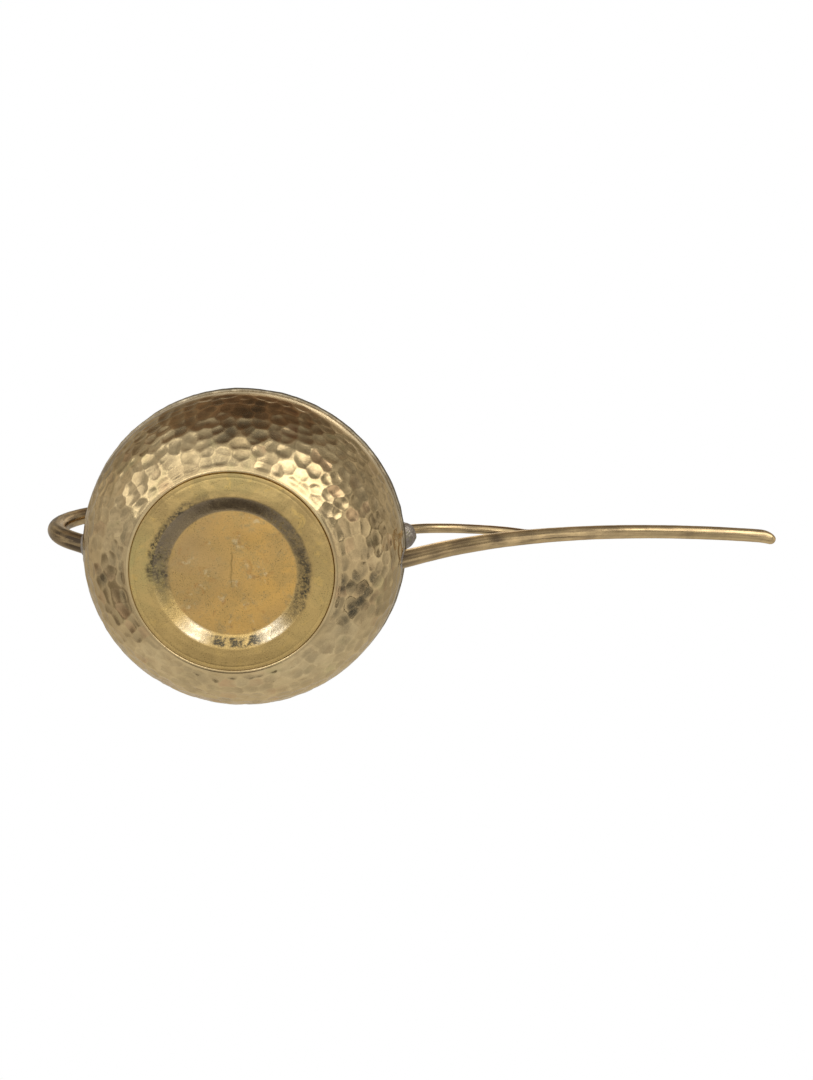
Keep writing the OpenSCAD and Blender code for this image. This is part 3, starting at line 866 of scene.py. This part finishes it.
# Straight lengths, bend radii and headings of the rods. The ear is worked out towards +X and
# mirrored. The points are (x, z), in the order that each rod passes them.
ROOT_OUT = 4.0
HANDLE_A, TIP_A = 52.0, -10.5
HANDLE_STRAIGHT = 19.7
HANDLE_R, TIP_R = 180.0, 60.0
handle_foot = np.array([RING_R - 0.8, RING_Z - 3.1])
BRACE_A, BRACE_END = 40.0, -30.0
BRACE_ROOT, BRACE_BEND_R = 10.0, 39.0
brace_bend = np.array([55.0, 86.3])
brace_fork = bend_end(brace_bend, BRACE_BEND_R, BRACE_A, BRACE_END)
FORK_LEN = 7.0
EAR_A, EAR_TURN, EAR_END = 42.0, 111.0, 200.0
EAR_LOW_R, EAR_TOP_R, EAR_BACK_R = 42.0, 43.0, 10.0
ear_foot = np.array([RING_R - 0.8, RING_Z - 4.6])
ear_bend = along_heading(ear_foot, EAR_A, ROOT_OUT)
ear_side = bend_end(ear_bend, -EAR_LOW_R, EAR_A, 90)
ear_top = bend_end(ear_side, -EAR_TOP_R, 90, EAR_TURN)
ear_tail = bend_end(ear_top, -EAR_BACK_R, EAR_TURN, EAR_END)


def rod_path(start, heading, legs, step=0.7):
    """Points in the XZ plane and their headings, in degrees, along straight legs and bends."""
    points, headings = [np.array(start)], [heading]
    for kind, size, target in legs:
        if kind == "line":
            count = max(int(size / step), 2)
            base = points[-1]
            for k in range(1, count + 1):
                points.append(along_heading(base, target, size * k / count))
                headings.append(target)
        else:
            turn = abs(target - heading)
            count = max(int(abs(size) * math.radians(turn) / step), 6)
            base, from_a = points[-1], heading
            for k in range(1, count + 1):
                a = from_a + (target - from_a) * k / count
                points.append(bend_end(base, size, from_a, a))
                headings.append(a)
        heading = target
    return np.array(points), np.array(headings)


def ring_frame(a, phi):
    """Directions from a rod's centre to its skin, for a rod in the XZ plane."""
    a = np.radians(a)
    up = np.stack([-np.sin(a), 0 * a, np.cos(a)], -1)
    return up[..., None, :] * np.cos(phi)[:, None] + np.array([0, 1, 0]) * np.sin(phi)[:, None]


def in_wall(p, depth):
    """Whether points are more than depth within the pot's plain outer face."""
    return np.hypot(p[..., 0], p[..., 1]) < outer_r(p[..., 2]) - depth


def wall_hit(base, out, depth, reach=16.0):
    """How far along out from each base point the line leaves the wall, less depth of it."""

    def inside(distance):
        return in_wall(base + distance[:, None] * out, depth)

    return find_edge(np.full(len(base), -reach), np.zeros(len(base)), inside)[1]


WORN_LENGTH = 7.0  # of the handle's tip, on its worn side


def rounded_tip(centre, rays, heading, tip):
    """The rod's line and rays with a tip added that is worn away more on its -Y side."""
    step = np.linspace(0, 1, 24)[1:] ** 0.7
    step[-1] = 0.995
    extra = centre[-1] + (step * tip)[:, None] * in_space(heading_vector(heading))
    centre = np.vstack([centre, extra])
    rays = np.concatenate([rays, np.repeat(rays[-1:], len(step), 0)])
    left = path_length(centre[::-1])[::-1]

    def rounding(length, power):
        return np.sqrt(np.clip(1 - (1 - np.minimum(left, length) / length) ** power, 0, 1))

    across = rays[..., 1].copy()
    rays = rays * rounding(3.4, 2.2)[:, None, None]
    rays[..., 1] = across * np.where(across < 0, rounding(WORN_LENGTH, 2.2)[:, None],
                                     rounding(3.0, 2.4)[:, None])
    lean = 0.3 * (1 - np.minimum(left / WORN_LENGTH, 1)) ** 2
    rays[..., 1] += lean[:, None]
    return centre, rays


def build_rod(name, node, path, radius, seed, tarnish, count=48, tip=None, mirror=False):
    """A round rod swept along its path, with its root shaped to the wall. A mirrored one has
    its other end shaped to the wall too."""
    rng = np.random.default_rng(seed)
    points, headings = path
    phi = round_angles(count)
    centre = in_space(points)
    rays = ring_frame(headings, phi)
    if tip is not None:
        centre, rays = rounded_tip(centre, rays, headings[-1], tip)
    grid = centre[:, None, :] + radius * rays
    run = path_length(centre)
    rub = 0.030 * waves(rng, grid, 24) + 0.014 * waves(rng, grid, 5)
    dull = 1 - np.clip(0.03 + rub, 0, 0.1) / radius
    sway = 0.22 * np.sin(run / 31 + seed) * smooth(run, 6, 40)
    if tip is None:
        sway = sway * fade(run, run[-1] - 40, run[-1] - 8)
    grid = centre[:, None, :] + (grid - centre[:, None, :]) * dull[..., None]
    grid[..., 1] += sway[:, None]

    def fit(row, others, sign):
        out = sign * in_space(heading_vector(headings[row]))
        base = grid[row]
        hit = wall_hit(base, out, depth=0.3)
        for k, j in enumerate(others):
            grid[j] = base + (hit * (1 - k / len(others)))[:, None] * out

    near = int(np.searchsorted(run, ROOT_OUT))
    fit(near, range(near), 1)
    grime = tarnish + 0.4 * fade(run, 2, 10)
    if mirror:
        far = int(np.searchsorted(run, run[-1] - 8))
        fit(far, range(len(run) - 1, far, -1), -1)
        grime = np.maximum(grime, 0.85 * smooth(run, run[-1] - 12, run[-1] - 3))
    last = grid[-1].mean(0) if mirror or tip is not None else centre[-1]
    poles = np.stack([grid[0].mean(0), last])
    across = 0 * run[:, None]
    skin = np.stack([run[:, None] + 0 * phi, across + radius * np.cos(phi),
                     across + radius * np.sin(phi)], -1) * MM
    grime = np.clip(grime[:, None] + 0.18 * waves(rng, grid, 12), 0, 1)
    if mirror:
        grid[..., 0] *= -1
        poles[:, 0] *= -1
    make_piece(name, node, "rod_brass", grid, poles, {"along": skin, "grime": grime})


def build_rods():
    path = rod_path(along_heading(handle_foot, HANDLE_A, -1.0), HANDLE_A,
                    [("line", HANDLE_STRAIGHT + 1, HANDLE_A), ("bend", HANDLE_R, 0.0),
                     ("bend", TIP_R, TIP_A)])
    build_rod("handle_drawn_rod", "handle_rod", path, ROD_R, seed=31, tarnish=0.12, tip=2.9)
    path = rod_path(along_heading(brace_bend, BRACE_A, -BRACE_ROOT), BRACE_A,
                    [("line", BRACE_ROOT, BRACE_A), ("bend", BRACE_BEND_R, BRACE_END),
                     ("line", FORK_LEN - 1.2, BRACE_END)])
    build_rod("brace_drawn_rod", "brace_rod", path, BRACE_R, seed=32, tarnish=0.27, count=40)
    path = rod_path(along_heading(ear_foot, EAR_A, -1.0), EAR_A,
                    [("line", ROOT_OUT + 1, EAR_A), ("bend", -EAR_LOW_R, 90.0),
                     ("bend", -EAR_TOP_R, EAR_TURN), ("bend", -EAR_BACK_R, EAR_END),
                     ("line", 9.0, EAR_END)])
    build_rod("ear_bent_rod", "ear_rod", path, ROD_R, seed=33, tarnish=0.6, mirror=True)


# ---------------------------------------------------------------- solder
def wall_normal(p):
    z = p[:, 2]
    slope = (outer_r(z + 0.05) - outer_r(z - 0.05)) / 0.1
    r = np.hypot(p[:, 0], p[:, 1])
    return unit(np.stack([p[:, 0] / r, p[:, 1] / r, -slope], 1))


def build_collar(node, anchor, heading, up, wide, seed, mirror=False):
    """Solder drawn up round a rod where it meets the wall. heading points away from the wall,
    and up and wide are how far the solder runs along the rod and over the wall."""
    rng = np.random.default_rng(seed)
    phi = round_angles(90)
    out = in_space(heading_vector(heading))
    ray = ring_frame(np.array(heading), phi)
    base = in_space(anchor) + ROD_R * ray
    corner = base + wall_hit(base, out, depth=0)[:, None] * out
    normal = wall_normal(corner)
    along_wall = unit(ray - np.einsum("ij,ij->i", ray, normal)[:, None] * normal)

    def uneven(amount):
        curve = sum(rng.normal() * np.cos(k * phi + rng.uniform(0, TURN)) / k
                    for k in (1, 2, 3, 5, 7))
        return 1 + amount * curve / 1.3

    high = corner + (up * uneven(0.22))[:, None] * out + 0.02 * ray
    far = corner + (wide * uneven(0.25))[:, None] * along_wall
    level = (outer_r(far[:, 2]) - 0.26) / np.hypot(far[:, 0], far[:, 1])
    far[:, :2] *= level[:, None]
    handle = corner + 0.22 * (up * out + wide * along_wall)
    t = np.linspace(0, 1, 12)[:, None, None]
    curve = (1 - t) ** 2 * high + 2 * t * (1 - t) * handle + t**2 * far
    lumpy = 0.10 * waves(rng, curve, 2.4) + 0.05 * waves(rng, curve, 0.9)
    curve = curve + (lumpy * np.sin(math.pi * t[..., 0]))[..., None] * unit(out + normal)
    hidden = np.stack([far - 0.3 * normal, corner - 0.45 * normal - 0.5 * ray, high - 0.6 * ray])
    grid = np.concatenate([curve, hidden])
    if mirror:
        grid[..., 0] *= -1
    make_piece(node + "_fillet", node, "solder", grid)


def exit_distance(directions, balls, soft=3.0):
    """How far each ray from the origin runs before it leaves the joined balls."""
    total = np.zeros(directions.shape[:-1])
    for centre, radius in balls:
        centre = np.array(centre, float)
        b = directions @ centre
        inside = b**2 - centre @ centre + radius**2
        leave = b + np.sqrt(np.maximum(inside, 0))
        leave = np.where((inside > 0) & (leave > 0), leave, 0)
        total += np.exp(soft * leave)
    return np.log(total) / soft


LUMP_AT = np.array([51.6, 0.9, 77.4])
LUMP_BALLS = [((0, 0, 0), 5.2), ((-2, 0, 4.2), 4.4), ((-3.2, 0, 0.6), 4.4),
              ((-6.2, 0, 0.8), 4.3), ((-9.0, 0, 0.8), 4.4)]  # centre from LUMP_AT, radius
LUMP_DEEP = 0.35  # how far the lump goes into the wall
FILE_GAP = 0.95  # between file marks


def build_lump():
    """The blob of solder that holds the brace to the neck, filed on its outer side."""
    rng = np.random.default_rng(41)
    rows = 110
    tilt = math.pi * (np.arange(rows) + 0.5) / rows
    rays = turned(np.stack([np.sin(tilt), np.cos(tilt)], 1), round_angles(180))
    reach = exit_distance(rays, LUMP_BALLS) - 0.12
    reach = reach + 0.16 * waves(rng, rays * 4.6, 4.0) + 0.05 * waves(rng, rays * 4.6, 1.3)
    skin = rays * reach[..., None]
    across = skin @ np.array([0.45, 0.75, 0.5])
    hatch = np.sin(across * TURN / FILE_GAP + 0.5 * waves(rng, skin, 3.0))
    reach = reach + 0.055 * hatch * smooth(waves(rng, skin, 4.0), -0.9, 0.3)

    def outside(distance):
        return ~in_wall(LUMP_AT + rays * distance[..., None], LUMP_DEEP)

    to_wall = find_edge(np.zeros(reach.shape), reach, outside, steps=30)[0]
    skin = LUMP_AT + rays * np.where(outside(reach), reach, to_wall)[..., None]
    poles = np.stack([skin[0].mean(0), skin[-1].mean(0)])
    make_piece("brace_solder_lump", "brace_solder", "solder", skin, poles)


def build_fork_solder():
    """Solder run into the fork where the brace comes down on the handle."""
    rng = np.random.default_rng(51)
    phi = round_angles(64)
    t = np.linspace(0, 1, 26)[:, None]
    start = along_heading(brace_fork, BRACE_END, 0.4)
    centre = in_space(start + t * (FORK_LEN - 0.6) * heading_vector(BRACE_END))
    rays = ring_frame(np.full(len(t), BRACE_END), phi)
    under = np.clip(-np.cos(phi), 0, 1)
    radius = BRACE_R - 0.15 + 0.17 * smooth(t, 0, 0.1) + 0.9 * t**1.6 * (0.55 + 0.9 * under)
    grid = centre[:, None, :] + radius[..., None] * rays
    grid += (0.06 * waves(rng, grid, 1.8) * smooth(t, 0.05, 0.3))[..., None] * rays
    make_piece("fork_solder_fillet", "fork_solder", "solder", grid, centre[[0, -1]])


# ---------------------------------------------------------------- build
build_foot_plate()
build_bowl()
build_seam_ring()
build_upper_body()
build_rim_wire()
build_rods()
build_lump()
build_collar("handle_solder", along_heading(handle_foot, HANDLE_A, ROOT_OUT), HANDLE_A,
             up=0.7, wide=0.4, seed=61)
build_collar("ear_low_solder", ear_bend, EAR_A, up=0.8, wide=0.6, seed=62, mirror=True)
build_collar("ear_top_solder", ear_tail, EAR_END - 180, up=2.4, wide=1.9, seed=63, mirror=True)
build_fork_solder()


# ---------------------------------------------------------------- stage, light and camera
def build_floor():
    """Pale floor, seen from above only, so that the view of the underside stays open."""
    size = 12.0
    mesh = bpy.data.meshes.new("floor")
    mesh.from_pydata([(-size, -size, 0), (size, -size, 0), (size, size, 0), (-size, size, 0)], [],
                     [(0, 1, 2, 3)])
    floor = add_object("floor", mesh)
    material, s = new_material("floor_paper")
    paper = s.node("ShaderNodeBsdfPrincipled", 0,
                   {"Base Color": (0.88, 0.875, 0.865), "Roughness": 0.9,
                    "Emission Color": (1.0, 0.99, 0.97), "Emission Strength": 0.22})
    clear = s.node("ShaderNodeBsdfTransparent")
    from_below = s.node("ShaderNodeNewGeometry", "Backfacing")
    s.finish("ShaderNodeOutputMaterial",
             s.node("ShaderNodeMixShader", 0, {0: from_below, 1: paper, 2: clear}))
    mesh.materials.append(material)
    for ray in ("diffuse", "glossy", "transmission", "shadow"):
        setattr(floor, "visible_" + ray, False)


# Soft boxes and dark flags round the table: direction, half width in degrees from full to
# none, colour and how far it covers what is behind it.
SURROUNDINGS = [
    ((-0.05, 0.97, 0.25), 30, 65, (0.70, 0.69, 0.66), 0.95),
    ((-0.95, 0.27, 0.10), 12, 40, (0.60, 0.575, 0.54), 0.8),
    ((0.95, 0.10, -0.10), 12, 40, (0.86, 0.83, 0.78), 0.8),
    ((-0.13, 0.13, -0.98), 22, 48, (0.66, 0.645, 0.61), 0.95),
    ((-0.13, 0.80, -0.58), 12, 24, (0.12, 0.105, 0.09), 0.95),
    ((-0.10, -0.83, 0.55), 17, 46, (0.16, 0.105, 0.075), 0.96),
    ((0.66, -0.45, 0.60), 8, 34, (0.30, 0.26, 0.215), 0.45),
    ((-0.06, -0.18, 1.0), 10, 20, (0.95, 0.91, 0.83), 0.92),
    ((0.16, -0.23, 0.96), 4, 12, (1.7, 1.62, 1.5), 0.8),
    ((-0.80, -0.30, 0.50), 6, 24, (0.50, 0.46, 0.41), 0.7),
    ((-0.55, -0.62, 0.55), 5, 20, (0.20, 0.15, 0.115), 0.8),
    ((-0.10, -0.62, -0.78), 24, 46, (1.12, 1.10, 1.04), 0.95),
    ((0.52, -0.72, -0.46), 8, 25, (2.35, 2.3, 2.2), 0.95),
    ((-0.76, -0.58, -0.28), 6, 24, (1.5, 1.47, 1.40), 0.9),
    ((-0.38, -0.20, -0.90), 3, 8, (3.6, 3.55, 3.4), 0.97),
    ((0.13, -0.22, -0.967), 2, 7, (3.4, 3.35, 3.2), 0.97),
    ((0.90, 0.42, -0.14), 3, 10, (0.07, 0.065, 0.06), 0.9),
    ((-0.91, 0.40, 0.06), 2, 18, (0.14, 0.12, 0.10), 0.75),
    ((0.97, -0.12, 0.22), 4, 14, (0.10, 0.085, 0.07), 0.8),
]
ROOM = (0.46, 0.45, 0.43)  # colour behind them all


def build_world():
    """The room that the metal mirrors. The camera itself sees white behind the pot."""
    world = bpy.data.worlds.new("studio")
    bpy.context.scene.world = world
    s = Shader(world)
    direction = s.node("ShaderNodeTexCoord", "Generated")
    colour = ROOM
    for towards, full, none, tint, cover in SURROUNDINGS:
        close = s.node("ShaderNodeVectorMath", "Value",
                       {0: direction, 1: tuple(Vector(towards).normalized())},
                       operation="DOT_PRODUCT")
        edges = math.cos(math.radians(none)), math.cos(math.radians(full))
        colour = s.mix(s.span(close, *edges, 0.0, cover), colour, tint)
    clutter = s.span(s.noise(direction, 5.0, 4, 0.62), 0.36, 0.64, 0.35, 1.6)
    height = s.node("ShaderNodeSeparateXYZ", 1, {0: direction})
    amount = s.span(height, 0.35, -0.35, 0.12, 0.75)
    shade = s.math("ADD", s.times(s.math("SUBTRACT", clutter, 1.0), amount), 1.0)
    grey = s.node("ShaderNodeCombineColor", 0, {0: shade, 1: shade, 2: shade})
    colour = s.node("ShaderNodeMix", 2, {0: 1.0, 6: colour, 7: grey}, data_type="RGBA",
                    blend_type="MULTIPLY")
    lit = s.node("ShaderNodeBackground", 0, {"Color": colour})
    white = s.node("ShaderNodeBackground", 0, {"Color": (1.0, 1.0, 1.0)})
    seen = s.node("ShaderNodeLightPath", "Is Camera Ray")
    surface = s.node("ShaderNodeMixShader", 0, {0: seen, 1: lit, 2: white})
    s.finish("ShaderNodeOutputWorld", surface)


def build_light():
    """A soft box in front of the pot and above it."""
    light = bpy.data.lights.new("light_over", "AREA")
    light.shape = "RECTANGLE"
    light.size, light.size_y = 0.5, 0.4
    light.energy = 3.0
    lamp = add_object("light_over", light)
    lamp.location = (0.05, -0.55, 0.55)
    towards = Vector((0.03, 0, 0.05)) - lamp.location
    lamp.rotation_euler = towards.to_track_quat("-Z", "Y").to_euler()
    lamp.visible_camera = False
    lamp.visible_glossy = False


def build_camera():
    """The photograph looks up at the underside, with the handle to the right. The numbers are
    from a fit of the camera to the foot's circles and the handle."""
    camera_data = bpy.data.cameras.new("camera")
    camera_data.lens = 26.67
    camera_data.sensor_width = 36.0
    camera_data.clip_start = 0.01
    camera = add_object("camera", camera_data)
    forward = Vector((0.0803, 0.1857, 0.9793)).normalized()
    right = Vector((0.9954, -0.0661, -0.0691))
    right = (right - forward * right.dot(forward)).normalized()
    up = right.cross(forward)
    turn = Matrix((right, up, -forward)).transposed().to_4x4()
    camera.matrix_world = Matrix.Translation((0.0293, -0.0529, -0.2149)) @ turn
    bpy.context.scene.camera = camera


build_floor()
build_world()
build_light()
build_camera()
bpy.context.scene.view_settings.view_transform = "Standard"
